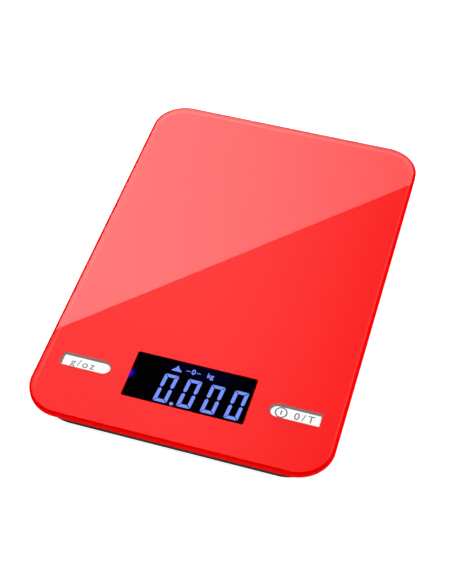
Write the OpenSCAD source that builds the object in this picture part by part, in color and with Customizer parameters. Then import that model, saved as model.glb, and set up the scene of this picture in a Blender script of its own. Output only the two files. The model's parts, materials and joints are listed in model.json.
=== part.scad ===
// Slim kitchen scale: a printed glass platform bonded to a shallow housing that stands on four
// load-sensing feet. The origin is on the table under the platform's centre, +Z is up and the
// display edge faces -Y.

/* [Platform] */
// Width of the glass platform
platform_w = 150; // [148:1:190]
// Length of the glass platform
platform_l = 220; // [200:1:270]
// Thickness of the glass
platform_t = 4; // [3:0.1:6]
// Corner radius of the platform
platform_r = 18; // [14:1:24]
// Bevel round both edges of the glass
bevel = 0.7; // [0.3:0.1:1.2]
// Thickness of the printed coat under the glass
print_t = 0.15; // [0.1:0.05:0.3]

/* [Housing] */
// How far the housing stands in from the edge of the glass
housing_inset = 3.8; // [3:0.1:6]
// Corner radius of the housing
housing_r = 20; // [18:1:20]
// Thickness of the housing's outer wall
wall = 2; // [1.6:0.1:2.4]
// Thickness of the housing's floor
floor_t = 1.8; // [1.6:0.1:3]
// Height of the space between the floor and the rim
cavity_h = 6.55; // [6.55:0.05:12]
// Radius of the rolled bottom edge
roll_r = 2; // [1:0.5:4]
// Height of the housing's underside above the table
ground_gap = 4; // [3.4:0.1:8]
// Thickness of the bonding gasket
gasket_t = 0.5; // [0.4:0.1:1]
// Width of the bonding gasket
gasket_w = 4.6; // [3:0.1:4.8]
// Thickness of the inner ribs
rib_t = 1.2; // [0.8:0.1:2]
// Distance of the lengthwise ribs from the middle
rib_column_x = 24; // [22:1:34]

/* [Display] */
// Width of the clear display window
display_w = 60.6; // [50:0.1:61]
// Length of the clear display window
display_l = 27; // [22:0.1:28]
// How far the display window stands to the right of the middle
display_x = -0.6; // [-0.8:0.1:0.8]
// Distance from the front edge to the middle of the display
display_from_front = 34; // [33:0.1:40]
// How far the liquid-crystal cell reaches past the window at each side
lcd_margin = 1.7; // [1:0.1:2]

/* [Keys] */
// Width of a key window
key_w = 7; // [6:0.1:8]
// Distance from the front edge to the middle of the keys
key_from_front = 31.6; // [30:0.1:36]
// Gap between the display window and a key window
display_key_gap = 9.6; // [9.4:0.1:14]
// Gap between a key window and the side edge of the glass
key_edge_gap = 10.6; // [10:0.1:16]
// Corner radius at the square end of a key window
key_corner_r = 0.4; // [0.3:0.1:1.5]
// How far a key sits below the top of the glass
key_recess = 1.3; // [0.6:0.1:1.6]
// Travel of a key
key_travel = 0.3; // [0.2:0.05:0.3]

/* [Sensors and feet] */
// Distance from the side edge of the glass to the middle of a foot
sensor_inset_x = 17; // [17:0.1:18]
// Distance from the front or rear edge of the glass to the middle of a foot
sensor_inset_y = 22; // [22:0.1:26]
// Width of a sensor plate
sensor_w = 17; // [15:0.1:17]
// Length of a sensor plate
sensor_l = 20; // [18:0.1:20]
// Thickness of a sensor plate
sensor_t = 1.2; // [0.8:0.1:1.4]
// Radius of a foot
foot_r = 8; // [6:0.1:10]
// Radius of the rubber pad in a foot
pad_r = 6.6; // [4:0.1:6.6]
// Thickness of the rubber pad
pad_t = 1.4; // [1:0.1:1.8]
// Radius of the stem that presses on the sensor
stem_r = 2.2; // [1.5:0.1:2.4]
// Travel of a foot
foot_travel = 0.3; // [0.2:0.05:0.4]

/* [Battery] */
// Diameter of the coin cell
cell_d = 20; // [16:0.5:24]
// Thickness of the coin cell
cell_t = 3.2; // [2:0.1:3.4]
// Distance of the battery cover's middle behind the platform's centre
battery_y = 14; // [8:1:20]
// Thickness of the battery cover
cover_t = 1.6; // [1.2:0.1:1.8]

/* [Hidden] */

$fn = 64;
corner_fn = 96;   // facets of a full turn round the block corners
bend_fn = 48;     // facets of a full turn round a wire's bend
wire_fn = 24;     // facets round a wire
blob_fn = 180;    // facets round the resin blob's section
over = 1;         // how far a cut runs past the face it opens
touch = 0.02;     // gap between pieces that bear on each other
slip = 0.05;      // gap round a pressed-in or guided piece
fit = 0.15;       // gap round a piece laid in a pocket
clear = 0.3;      // gap round a piece that moves

// Heights
z_floor = ground_gap + floor_t;
z_rim = z_floor + cavity_h;
z_print = z_rim + gasket_t;
z_glass = z_print + print_t;
z_top = z_glass + platform_t;

// Housing
housing_w = platform_w - 2 * housing_inset;
housing_l = platform_l - 2 * housing_inset;
gasket_setback = 0.4;
print_setback = bevel + 0.1;
gusset_depth = 4;
gusset_pitch = 18;
support_pad_w = 6;
floor_skin = 0.8;  // left under the screw holes

// Display stack, from the glass down
display_y = -platform_l / 2 + display_from_front;
window_r = 1;
lcd_w = display_w + 2 * lcd_margin;
lcd_l = display_l + 4;
sheet_t = 0.8;
polariser_t = 0.2;
polariser_setback = 0.7;
ledge_l = 3;
lcd_air = 0.25;
z_lcd_top = z_print - lcd_air;
z_ledge = z_lcd_top - polariser_t - sheet_t;
z_lcd = z_ledge - sheet_t - polariser_t;
guide_t = 2;
board_air = 0.1;
board_t = 1.2;
z_board_top = z_lcd - guide_t - board_air;
z_board = z_board_top - board_t;
frame_wall = 2.2;
frame_w = lcd_w + 2 * (fit + frame_wall);
frame_l = lcd_l + 2 * (fit + frame_wall);
ear_r = 2.4;
ear_t = 1.5;
ear_x = frame_w / 2 + 2.5;
ear_y = frame_l / 2 - 4.85;
display_screw = [1.7, 1.2, 0.85, 4.6];  // head radius and height, shank radius and length
screw_play = 0.25;
led_w = 1.8;
led_l = 3.5;
led_h = 1.8;
strip_w = 1.8;

// Keys and switches
key_y = -platform_l / 2 + key_from_front;
key_in = display_w / 2 + display_key_gap;
key_out = platform_w / 2 - key_edge_gap;
key_gap = 0.25;
key_flange = 1.2;
key_flange_t = 1;
key_skin = 1.2;
arris = 0.2;      // bevel on the rims of the keys and of their windows
z_key_top = z_top - key_recess;
z_flange_top = z_print - 0.1;
z_flange = z_flange_top - key_flange_t;
guide_plate_t = 1.3;
z_guide_plate = z_flange - key_travel - slip - guide_plate_t;
switch_x = key_in + key_w / 2 + 1;
switch_w = 5.2;
switch_h = 1.3;
switch_skin = 0.35;
switch_r = 0.4;
plunger_r = 1.7;
plunger_flange = 0.5;
plunger_h = 1.7;
z_plunger_top = z_board_top + plunger_h;
z_dome = z_board_top + 0.2;
dome_t = 0.1;
dome_r = plunger_r + 0.3;
terminal = [0.8, 1, 0.2];
terminal_x = 1.7;

// Circuit board
board_w = 2 * (switch_x + switch_w / 2 + 0.6);
board_l = frame_l + 2.6;
board_notch = [4.2, 4.2];
controller_r = 5;
controller_h = 1;
pad_inset = 2.5;
capacitor = [2, 1.25, 0.8];
capacitor_x = 11;
capacitor_y = -5;
capacitor_pitch = [4, 8];

// Sensors, in a frame at the foot's centre with u outwards along X and v outwards along Y
sensor_x = platform_w / 2 - sensor_inset_x;
sensor_y = platform_l / 2 - sensor_inset_y;
sensor_r = 6;
seat_h = 1.8;
seat_rim = 2;
lip_t = 1;
z_sensor = z_floor + seat_h;
z_clip = z_sensor + sensor_t;
tongue_w = 6;
tongue_root = -5.5;
tongue_tip = 4.5;
slot_w = 1.3;
relief_r = 0.75 * slot_w;
gauge_w = 4.4;
gauge_l = 4;
gauge_h = 0.7;
gauge_r = 0.6;
gauge_v = tongue_root - 0.1;
clip_t = 0.8;
clip_rim = 2.2;
clip_arm = 4.4;
boss_r = 2.4;
sensor_bosses = [[-3, sensor_l / 2 + 3], [-sensor_w / 2 - 3.1, 6]];
sensor_screw = [1.6, 1.1, 0.7, 4];
lead_r = 0.35;
lead_pitch = 1.3;
lead_bend = 0.9;
z_lead = z_floor + 0.5;
lead_start = tongue_root - 2.1;
lead_drop = 3.6;
lead_turn = 9;

// Feet
z_foot = 0.8;
z_foot_top = ground_gap - foot_travel - 0.1;
foot_round = 0.7;
pad_edge = 0.3;
tread_w = 0.8;
tread_depth = 0.4;
stem_play = 0.4;
barb = 1.1;
barb_land = 0.2;
stem_slit = 0.8;
z_barb = z_floor + foot_travel + slip;
z_stem_top = z_sensor - foot_travel - touch;

// Battery bay
cover_w = cell_d + 8;
cover_l = cell_d + 11;
cell_y = battery_y - 1.5;
barrel_r = 1.5;
hinge_y = battery_y + cover_l / 2 - barrel_r;
hinge_z = ground_gap + barrel_r;
pin_r = 0.8;
pin_l = 1.4;
cover_front = battery_y - cover_l / 2;
z_recess = ground_gap + cover_t + 0.25;
ledge_t = 1.35;
ledge_side = 1.8;
bay_wall = 1.5;
hinge_wall = 1.2;
cell_play = 0.4;
z_cell = z_recess + 0.1;
z_cell_top = z_cell + cell_t;
z_roof = z_cell_top + 0.9;
roof_t = 1.2;
contact_t = 0.25;
finger_w = 4;
blade_h = 2.6;
blade_lift = 0.2;
niche_depth = 3.2;
niche_half = 4.2;
tab_w = 1.2;
z_tab = z_cell_top - 0.8;
notch_r = 8;
notch_depth = 1.2;
notch_out = 2;
bump_r = 0.5;
bump_out = 0.25;
bump_l = 5;
grip_r = 0.5;
grip_depth = 0.4;
grip_l = 12;
grip_pitch = 1.6;
rest_w = 1.2;

// Inner rib rows, front to rear, and the notches in them for the leads
bay_half = cover_l / 2 + clear + ledge_side;
rib_gap = 4;
rib_rows = [
  display_y + board_l / 2 + 2 * rib_gap,
  battery_y - bay_half - rib_gap,
  battery_y + bay_half + rib_gap,
  sensor_y - sensor_l / 2 - 1.5 * rib_gap
];
positive_lead_x = cover_w / 2 + 5.5;
positive_tab_end = positive_lead_x - 1.2;
lead_notch_h = 2.2;
sensor_notch_w = 2 * (lead_pitch + lead_r) + 3;
battery_notch_w = 2 * lead_r + 2;

// ---------------------------------------------------------------- shared shapes

// A rectangle with round corners, centred
module rounded_rect(w, l, r) {
  square([w - 2 * r, l], center = true);
  square([w, l - 2 * r], center = true);
  for (sx = [-1, 1], sy = [-1, 1])
    translate([sx * (w / 2 - r), sy * (l / 2 - r)]) circle(r = r);
}

// A flat block with round corners whose edge has the section given as child: that section runs
// from the corner's axis at x = 0 out to x = r
module edged_block(w, l, r, z0, z1) {
  cx = w / 2 - r;
  cy = l / 2 - r;
  for (q = [0:3])
    translate([(q == 0 || q == 3 ? 1 : -1) * cx, (q < 2 ? 1 : -1) * cy, 0])
      rotate(90 * q) rotate_extrude(angle = 90, $fn = corner_fn) children();
  for (turn = [0, 180]) rotate(turn) {
    translate([cx, cy, 0]) rotate([90, 0, 0]) linear_extrude(2 * cy) children();
    translate([-cx, cy, 0]) rotate([90, 0, 90]) linear_extrude(2 * cx) children();
  }
  translate([-cx, -cy, z0]) cube([2 * cx, 2 * cy, z1 - z0]);
}

// Places its child at the right-hand key and, mirrored, at the left-hand one
module at_both_keys() {
  for (side = [0, 1]) mirror([side, 0, 0]) translate([0, key_y, 0]) children();
}

// Plan of a key window, round towards the display and square towards the side, grown by g
module key_outline(g) {
  r = key_w / 2 + g;
  round_x = key_in + key_w / 2;
  end_x = key_out + g;
  translate([round_x, 0]) circle(r = r);
  translate([round_x, -r]) square([end_x - key_corner_r - round_x, 2 * r]);
  translate([round_x, key_corner_r - r]) square([end_x - round_x, 2 * (r - key_corner_r)]);
  for (s = [-1, 1])
    translate([end_x - key_corner_r, s * (r - key_corner_r)]) circle(r = key_corner_r);
}

// The key's plan, grown by g, as a slab from z0 to z1 whose sides lean in by `lean` on the way up
module key_slab(g, z0, z1, lean) {
  r = key_w / 2 + g;
  h = z1 - z0;
  round_x = key_in + key_w / 2;
  end_x = key_out + g;
  corner_x = end_x - key_corner_r;
  corner_y = r - key_corner_r;
  translate([round_x, 0, z0]) cylinder(r1 = r, r2 = r - lean, h = h);
  for (s = [-1, 1])
    translate([corner_x, s * corner_y, z0]) cylinder(r1 = key_corner_r, r2 = key_corner_r - lean, h = h);
  translate([round_x, 0, z0]) rotate([90, 0, 90]) linear_extrude(corner_x - round_x)
    polygon([[-r, 0], [r, 0], [r - lean, h], [lean - r, h]]);
  translate([0, corner_y, z0]) rotate([90, 0, 0]) linear_extrude(2 * corner_y)
    polygon([[round_x, 0], [end_x, 0], [end_x - lean, h], [round_x, h]]);
}

// Corner 0 is front left, 1 front right, 2 rear left and 3 rear right
module at_corner(i) {
  translate([(i % 2 == 0 ? -1 : 1) * sensor_x, (i < 2 ? -1 : 1) * sensor_y, 0])
    mirror([i % 2 == 0 ? 1 : 0, 0, 0]) mirror([0, i < 2 ? 1 : 0, 0]) children();
}

module at_display_ears() {
  for (sx = [-1, 1], sy = [-1, 1]) translate([sx * ear_x, display_y + sy * ear_y, 0]) children();
}

// A pan-head screw seated at z = 0 with a cross recess; size is [head r, head h, shank r, length]
module pan_screw(size) {
  head_r = size[0];
  head_h = size[1];
  rim_h = 0.3;
  rim_in = 0.4;
  recess = [1.2 * head_r, 0.4, 0.5];
  difference() {
    union() {
      cylinder(r = head_r, h = head_h - rim_h);
      translate([0, 0, head_h - rim_h]) cylinder(r1 = head_r, r2 = head_r - rim_in, h = rim_h);
    }
    for (a = [0, 90]) rotate(a) translate([-recess[0] / 2, -recess[1] / 2, head_h - recess[2]])
      cube([recess[0], recess[1], over]);
  }
  translate([0, 0, -size[3]]) cylinder(r = size[2], h = size[3]);
}

// ---------------------------------------------------------------- wires

function unit(v) = v / norm(v);

// Places its child at p with the child's x and y axes along x and y
module axes_at(p, x, y) {
  z = cross(x, y);
  multmatrix([
    [x[0], y[0], z[0], p[0]], [x[1], y[1], z[1], p[1]], [x[2], y[2], z[2], p[2]], [0, 0, 0, 1]
  ]) children();
}

module straight(a, b, r) {
  d = unit(b - a);
  x = unit(cross(abs(d[2]) > 0.9 ? [1, 0, 0] : [0, 0, 1], d));
  axes_at(a, x, cross(d, x)) cylinder(r = r, h = norm(b - a), $fn = wire_fn);
}

// A wire along points that turn by right angles, with a bend radius at every turn
module wire(points, r, bend) {
  last = len(points) - 1;
  for (i = [0:last - 1]) {
    d = unit(points[i + 1] - points[i]);
    straight(points[i] + (i > 0 ? bend : 0) * d, points[i + 1] - (i < last - 1 ? bend : 0) * d, r);
  }
  for (i = [1:last - 1]) {
    u = unit(points[i] - points[i - 1]);
    v = unit(points[i + 1] - points[i]);
    axes_at(points[i] + bend * (v - u), -v, u)
      rotate_extrude(angle = 90, $fn = bend_fn) translate([bend, 0]) circle(r = r, $fn = wire_fn);
  }
}

// ---------------------------------------------------------------- platform

module glass_edge() {
  polygon([
    [0, z_glass], [platform_r - bevel, z_glass], [platform_r, z_glass + bevel],
    [platform_r, z_top - bevel], [platform_r - bevel, z_top], [0, z_top]
  ]);
}

module glass_platform() {
  color([0.93, 0.1, 0.1, 0.6]) difference() {
    edged_block(platform_w, platform_l, platform_r, z_glass, z_top) glass_edge();
    at_both_keys() translate([0, 0, z_glass - over])
      linear_extrude(platform_t + 2 * over) key_outline(0);
    at_both_keys() key_slab(0, z_top - arris, z_top + over, -arris - over);
  }
}

module platform_print() {
  color([0.9, 0.05, 0.05]) translate([0, 0, z_print]) linear_extrude(print_t) difference() {
    rounded_rect(platform_w - 2 * print_setback, platform_l - 2 * print_setback, platform_r - print_setback);
    translate([display_x, display_y]) rounded_rect(display_w, display_l, window_r);
    at_both_keys() key_outline(slip);
  }
}

module platform_gasket() {
  outer = gasket_setback;
  inner = gasket_setback + gasket_w;
  color([0.2, 0.2, 0.2]) translate([0, 0, z_rim]) linear_extrude(gasket_t) difference() {
    rounded_rect(housing_w - 2 * outer, housing_l - 2 * outer, housing_r - outer);
    rounded_rect(housing_w - 2 * inner, housing_l - 2 * inner, housing_r - inner);
  }
}

module support_pads() {
  color([0.85, 0.85, 0.82]) for (y = rib_rows, s = [-1, 1])
    translate([s * rib_column_x - support_pad_w / 2, y - support_pad_w / 2, z_rim])
      cube([support_pad_w, support_pad_w, gasket_t]);
}

// ---------------------------------------------------------------- housing

module rolled_edge() {
  translate([0, ground_gap]) square([housing_r - roll_r, z_rim - ground_gap]);
  translate([0, ground_gap + roll_r]) square([housing_r, z_rim - ground_gap - roll_r]);
  translate([housing_r - roll_r, ground_gap + roll_r]) circle(r = roll_r);
}

module housing_shell() {
  difference() {
    edged_block(housing_w, housing_l, housing_r, ground_gap, z_rim) rolled_edge();
    translate([0, 0, z_floor]) linear_extrude(cavity_h + over)
      rounded_rect(housing_w - 2 * wall, housing_l - 2 * wall, housing_r - wall);
  }
}

// Full-height ribs in a grid behind the circuit board, and short gussets along the walls
module housing_ribs() {
  inner_x = housing_w / 2 - wall;
  inner_y = housing_l / 2 - wall;
  for (y = rib_rows)
    translate([-inner_x - wall / 2, y - rib_t / 2, z_floor - over])
      cube([2 * inner_x + wall, rib_t, cavity_h + over]);
  for (s = [-1, 1])
    translate([s * rib_column_x - rib_t / 2, rib_rows[0], z_floor - over])
      cube([rib_t, inner_y - rib_rows[0] + wall / 2, cavity_h + over]);
  gusset_l = gusset_depth + wall / 2;
  gusset_x = inner_x + wall / 2 - gusset_l / 2;
  gusset_y = inner_y + wall / 2 - gusset_l / 2;
  for (x = [-2:2], s = [-1, 1])
    translate([x * gusset_pitch - rib_t / 2, s * gusset_y - gusset_l / 2, z_floor - over])
      cube([rib_t, gusset_l, cavity_h + over]);
  for (row = [0:2], k = [1, 2], s = [-1, 1]) {
    y = rib_rows[row] + k * (rib_rows[row + 1] - rib_rows[row]) / 3;
    translate([s * gusset_x - gusset_l / 2, y - rib_t / 2, z_floor - over])
      cube([gusset_l, rib_t, cavity_h + over]);
  }
}

module sensor_outline(g) {
  rounded_rect(sensor_w + 2 * g, sensor_l + 2 * g, sensor_r + g);
}

// The raised seat under a sensor plate's rim, the lip round it and the bosses of its clip
module sensor_seat() {
  translate([0, 0, z_floor - over]) linear_extrude(seat_h + over) difference() {
    sensor_outline(fit);
    sensor_outline(-seat_rim);
  }
  difference() {
    translate([0, 0, z_floor - over]) linear_extrude(seat_h + sensor_t + over) difference() {
      sensor_outline(fit + lip_t);
      sensor_outline(fit);
    }
    translate([-tongue_w / 2, -sensor_l, z_sensor]) cube([tongue_w, sensor_l, sensor_t + over]);
  }
  for (p = sensor_bosses)
    translate([p[0], p[1], z_floor - over]) cylinder(r = boss_r, h = seat_h + sensor_t + over);
}

module sensor_seat_cuts() {
  translate([0, 0, ground_gap - over]) cylinder(r = stem_r + stem_play, h = floor_t + 2 * over);
  for (p = sensor_bosses) translate([p[0], p[1], z_clip - sensor_screw[3]])
    cylinder(r = sensor_screw[2] + slip, h = sensor_screw[3] + over);
}

// Ledge, hinge housing, cell pocket and contact niche, before they are hollowed
module battery_bay() {
  side = cover_w / 2 + clear;
  rear = hinge_y + barrel_r + clear;
  translate([-side - ledge_side, cover_front - clear - ledge_side, ground_gap])
    cube([2 * (side + ledge_side), rear - cover_front + clear + ledge_side, z_recess + ledge_t - ground_gap]);
  hinge_half = [side + pin_l + hinge_wall, barrel_r + clear + hinge_wall];
  translate([-hinge_half[0], hinge_y - hinge_half[1], ground_gap])
    cube([2 * hinge_half[0], 2 * hinge_half[1], barrel_r + hinge_half[1]]);
  translate([0, cell_y, z_floor - over])
    cylinder(r = cell_d / 2 + cell_play + bay_wall, h = z_roof + roof_t - z_floor + over);
  translate([0, cell_y - niche_half - bay_wall, z_floor - over])
    cube([cell_d / 2 + niche_depth + bay_wall, 2 * (niche_half + bay_wall), z_roof + roof_t - z_floor + over]);
}

module battery_bay_cuts() {
  side = cover_w / 2 + clear;
  rear = hinge_y + barrel_r + clear;
  translate([-side, cover_front - clear, ground_gap - over])
    cube([2 * side, rear - cover_front + clear, z_recess - ground_gap + over]);
  translate([-side, hinge_y - barrel_r - clear, ground_gap - over])
    cube([2 * side, 2 * (barrel_r + clear), 2 * barrel_r + clear + over]);
  translate([-side - pin_l, hinge_y, hinge_z]) rotate([0, 90, 0])
    cylinder(r = pin_r + slip, h = 2 * (side + pin_l));
  translate([0, cell_y, ground_gap]) cylinder(r = cell_d / 2 + cell_play, h = z_roof - ground_gap);
  translate([0, cell_y - niche_half, ground_gap])
    cube([cell_d / 2 + niche_depth, 2 * niche_half, z_roof - ground_gap]);
  // slots that the contacts leave by
  translate([cell_d / 2, cell_y + niche_half - tab_w - 2 * clear, z_tab - fit])
    cube([niche_depth + bay_wall + over, tab_w + clear, contact_t + 2 * fit]);
  translate([-finger_w / 2 - fit, cell_y - cell_d / 2 - 4, z_roof - contact_t - 2 * slip])
    cube([finger_w + 2 * fit, 6, contact_t + 2 * slip]);
  // fingernail notch and the groove that the cover's bumps snap into
  translate([0, cover_front - notch_out, ground_gap - notch_r + notch_depth]) sphere(r = notch_r);
  for (s = [-1, 1])
    translate([s * cover_w / 4 - bump_l / 2 - clear, cover_front, ground_gap + cover_t / 2])
      rotate([0, 90, 0]) cylinder(r = bump_r + fit, h = bump_l + 2 * clear);
}

module base_housing() {
  color([0.08, 0.08, 0.09]) difference() {
    union() {
      housing_shell();
      housing_ribs();
      for (i = [0:3]) at_corner(i) sensor_seat();
      at_display_ears() translate([0, 0, z_floor - over])
        cylinder(r = boss_r, h = z_board - z_floor + over);
      battery_bay();
    }
    for (i = [0:3]) at_corner(i) sensor_seat_cuts();
    at_display_ears() translate([0, 0, ground_gap + floor_skin])
      cylinder(r = display_screw[2] + slip, h = z_board - ground_gap);
    battery_bay_cuts();
    // notches that let the leads through the ribs
    for (y = rib_rows, s = [-1, 1])
      translate([s * sensor_x - sensor_notch_w / 2, y - rib_t, z_floor])
        cube([sensor_notch_w, 2 * rib_t, lead_notch_h]);
    for (y = [rib_rows[0], rib_rows[1]], x = [0, positive_lead_x])
      translate([x - battery_notch_w / 2, y - rib_t, z_floor])
        cube([battery_notch_w, 2 * rib_t, lead_notch_h]);
  }
}

// ---------------------------------------------------------------- sensors and feet

// A steel plate with a tongue cut free at the tip, which bends when the foot presses on it
module load_sensor(i) {
  color([0.75, 0.76, 0.78]) at_corner(i) translate([0, 0, z_sensor]) linear_extrude(sensor_t) difference() {
    sensor_outline(0);
    for (s = [-1, 1]) {
      translate([s * (tongue_w + slot_w) / 2 - slot_w / 2, tongue_root])
        square([slot_w, tongue_tip - tongue_root]);
      translate([s * (tongue_w + slot_w) / 2, tongue_root]) circle(r = relief_r);
    }
    translate([-tongue_w / 2 - slot_w, tongue_tip]) square([tongue_w + 2 * slot_w, slot_w]);
  }
}

// The gauge under its silicone coat, at the tongue's root
module strain_gauge(i) {
  color([0.95, 0.95, 0.92]) at_corner(i) translate([0, gauge_v, z_clip]) linear_extrude(gauge_h)
    rounded_rect(gauge_w, gauge_l, gauge_r);
}

// A stamped steel clip over the sensor's rim, open where the leads leave
module sensor_clip(i) {
  color([0.6, 0.61, 0.63]) at_corner(i) translate([0, 0, z_clip]) linear_extrude(clip_t) difference() {
    union() {
      sensor_outline(0);
      for (p = sensor_bosses) translate(p) circle(r = clip_arm / 2);
      translate(sensor_bosses[0] - [clip_arm / 2, clip_arm]) square([clip_arm, clip_arm]);
      translate(sensor_bosses[1] - [0, clip_arm / 2]) square([clip_arm, clip_arm]);
    }
    sensor_outline(-clip_rim);
    translate([-tongue_w / 2 - slot_w, -sensor_l]) square([tongue_w + 2 * slot_w, sensor_l]);
    for (p = sensor_bosses) translate(p) circle(r = sensor_screw[2] + fit);
  }
}

module sensor_screws() {
  color([0.7, 0.7, 0.72]) for (i = [0:3]) at_corner(i) for (p = sensor_bosses)
    translate([p[0], p[1], z_clip + clip_t]) pan_screw(sensor_screw);
}

// Half section of a foot: the round-edged disc, the stem and its barb, less the pad's recess
module foot_section() {
  difference() {
    union() {
      translate([0, z_foot]) square([foot_r - foot_round, z_foot_top - z_foot]);
      translate([0, z_foot + foot_round]) square([foot_r, z_foot_top - z_foot - 2 * foot_round]);
      for (z = [z_foot + foot_round, z_foot_top - foot_round])
        translate([foot_r - foot_round, z]) circle(r = foot_round);
      square([stem_r, z_barb]);
      polygon([
        [0, z_barb], [stem_r + barb, z_barb], [stem_r + barb, z_barb + barb_land],
        [stem_r, z_stem_top], [0, z_stem_top]
      ]);
    }
    translate([-over, -over]) square([pad_r + slip + over, pad_t + over]);
    translate([-foot_r, -over]) square([foot_r, z_top]);
  }
}

// A disc with a barbed stem, slit so that it can be pushed in from below
module foot(i) {
  color([0.1, 0.1, 0.1]) at_corner(i) difference() {
    rotate_extrude() foot_section();
    for (a = [0, 90]) rotate(a) translate([-foot_r, -stem_slit / 2, z_foot_top + over])
      cube([2 * foot_r, stem_slit, z_top]);
  }
}

// A rubber disc with a round edge and a ring groove in its tread
module foot_pad(i) {
  color([0.3, 0.3, 0.3]) at_corner(i) rotate_extrude() difference() {
    polygon([[0, 0], [pad_r - pad_edge, 0], [pad_r, pad_edge], [pad_r, pad_t], [0, pad_t]]);
    translate([0.6 * pad_r, -over]) square([tread_w, over + tread_depth]);
  }
}

// Three leads from a strain gauge to the board's edge; the rear ones run along the side
module sensor_leads(i) {
  front = i < 2;
  z_start = z_clip + lead_r + slip;
  pad_u = board_w / 2 - pad_inset - sensor_x;
  color([0.75, 0.1, 0.1]) at_corner(i) for (k = [-1:1]) {
    u = k * lead_pitch;
    drop = -sensor_l / 2 - lead_drop - (front ? k : 0) * lead_pitch;
    turn_v = display_y + board_l / 2 - lead_turn - k * lead_pitch - sensor_y;
    wire(concat(
      [[u, lead_start, z_start], [u, drop, z_start], [u, drop, z_lead]],
      front ? [[pad_u, drop, z_lead], [pad_u, drop, z_board]]
            : [[u, turn_v, z_lead], [pad_u, turn_v, z_lead], [pad_u, turn_v, z_board]]
    ), lead_r, lead_bend);
  }
}

// ---------------------------------------------------------------- electronics

// The board across the display end, notched at the front for the sensor clips
module circuit_board() {
  color([0.1, 0.35, 0.2]) difference() {
    translate([0, display_y, z_board]) linear_extrude(board_t) difference() {
      square([board_w, board_l], center = true);
      for (s = [-1, 1])
        translate([s * board_w / 2 - board_notch[0], -board_l / 2 - over])
          square([2 * board_notch[0], board_notch[1] + over]);
    }
    at_display_ears() translate([0, 0, z_board - over])
      cylinder(r = display_screw[2] + screw_play, h = board_t + 2 * over);
  }
}

// The resin blob that seals the controller chip, under the board
module controller() {
  ball_r = (controller_r * controller_r + controller_h * controller_h) / (2 * controller_h);
  color([0.05, 0.05, 0.05]) translate([0, display_y, z_board]) rotate_extrude() intersection() {
    translate([0, ball_r - controller_h]) circle(r = ball_r, $fn = blob_fn);
    translate([0, -controller_h]) square([controller_r, controller_h]);
  }
}

// Two rows of chip capacitors at each side of the controller, under the board
module board_capacitors() {
  color([0.7, 0.55, 0.35]) for (column = [0:2], row = [0:1], s = [-1, 1])
    translate([
      s * (capacitor_x + column * capacitor_pitch[0]) - capacitor[0] / 2,
      display_y + capacitor_y + row * capacitor_pitch[1],
      z_board - capacitor[2]
    ]) cube(capacitor);
}

// Two glass sheets, the lower one shorter, so that the upper one leaves a ledge for the contacts
module lcd_cell() {
  color([0.12, 0.14, 0.16]) translate([-lcd_w / 2, display_y - lcd_l / 2, 0]) {
    translate([0, 0, z_ledge]) cube([lcd_w, lcd_l, sheet_t]);
    translate([0, 0, z_ledge - sheet_t]) cube([lcd_w, lcd_l - ledge_l, sheet_t]);
  }
}

module lcd_front_polariser() {
  w = lcd_w - 2 * polariser_setback;
  l = lcd_l - 2 * polariser_setback;
  color([0.03, 0.03, 0.05]) translate([-w / 2, display_y - l / 2, z_lcd_top - polariser_t])
    cube([w, l, polariser_t]);
}

module lcd_rear_polariser() {
  w = lcd_w - 2 * polariser_setback;
  l = lcd_l - ledge_l - 2 * polariser_setback;
  color([0.05, 0.05, 0.08]) translate([-w / 2, display_y - lcd_l / 2 + polariser_setback, z_lcd])
    cube([w, l, polariser_t]);
}

// The clear block under the cell that spreads the backlight
module light_guide() {
  left = -lcd_w / 2 + led_w + 2 * clear;
  color([0.8, 0.9, 1, 0.6]) translate([left, display_y - lcd_l / 2 + clear, z_board_top + board_air])
    cube([lcd_w / 2 - clear - left, lcd_l - ledge_l - 2 * clear, guide_t]);
}

module backlight_led() {
  color([0.3, 0.4, 1]) translate([-lcd_w / 2 + clear, display_y - led_l / 2, z_board_top])
    cube([led_w, led_l, led_h]);
}

// The rubber strip that joins the board's pads to the cell's ledge
module contact_strip() {
  color([0.6, 0.6, 0.65])
    translate([-display_w / 2, display_y + lcd_l / 2 - ledge_l / 2 - strip_w / 2, z_board_top])
      cube([display_w, strip_w, z_ledge - z_board_top]);
}

// The frame that holds the display stack, with a guide plate for each key and four screw ears
module display_frame() {
  plate_start = frame_w / 2 - 1;
  plate_end = key_out + 1.8;
  plate_half = key_w / 2 + 1.75;
  leg_t = 1.2;
  ear_web = 3;
  color([0.13, 0.13, 0.14]) difference() {
    union() {
      translate([0, display_y, z_board_top]) linear_extrude(z_lcd_top - z_board_top)
        rounded_rect(frame_w, frame_l, 1);
      at_display_ears() translate([0, 0, z_board_top]) cylinder(r = ear_r, h = ear_t);
      for (sx = [-1, 1], sy = [-1, 1])
        translate([sx * (ear_x - ear_web / 2) - ear_web / 2, display_y + sy * ear_y - ear_r, z_board_top])
          cube([ear_web, 2 * ear_r, ear_t]);
      at_both_keys() translate([plate_start, -plate_half, z_guide_plate])
        cube([plate_end - plate_start, 2 * plate_half, guide_plate_t]);
      // legs of the guide plates on the board, in front of and behind the switches
      at_both_keys() for (s = [-1, 1])
        translate([switch_x - switch_w / 2, s * (plate_half - leg_t / 2) - leg_t / 2, z_board_top])
          cube([switch_w, leg_t, z_guide_plate - z_board_top + over / 2]);
    }
    translate([-lcd_w / 2 - fit, display_y - lcd_l / 2 - fit, z_board_top - over])
      cube([lcd_w + 2 * fit, lcd_l + 2 * fit, z_lcd_top - z_board_top + 2 * over]);
    at_display_ears() translate([0, 0, z_board_top - over])
      cylinder(r = display_screw[2] + screw_play, h = ear_t + 2 * over);
    at_both_keys() translate([0, 0, z_guide_plate - over])
      linear_extrude(guide_plate_t + 2 * over) key_outline(slip);
  }
}

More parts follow.
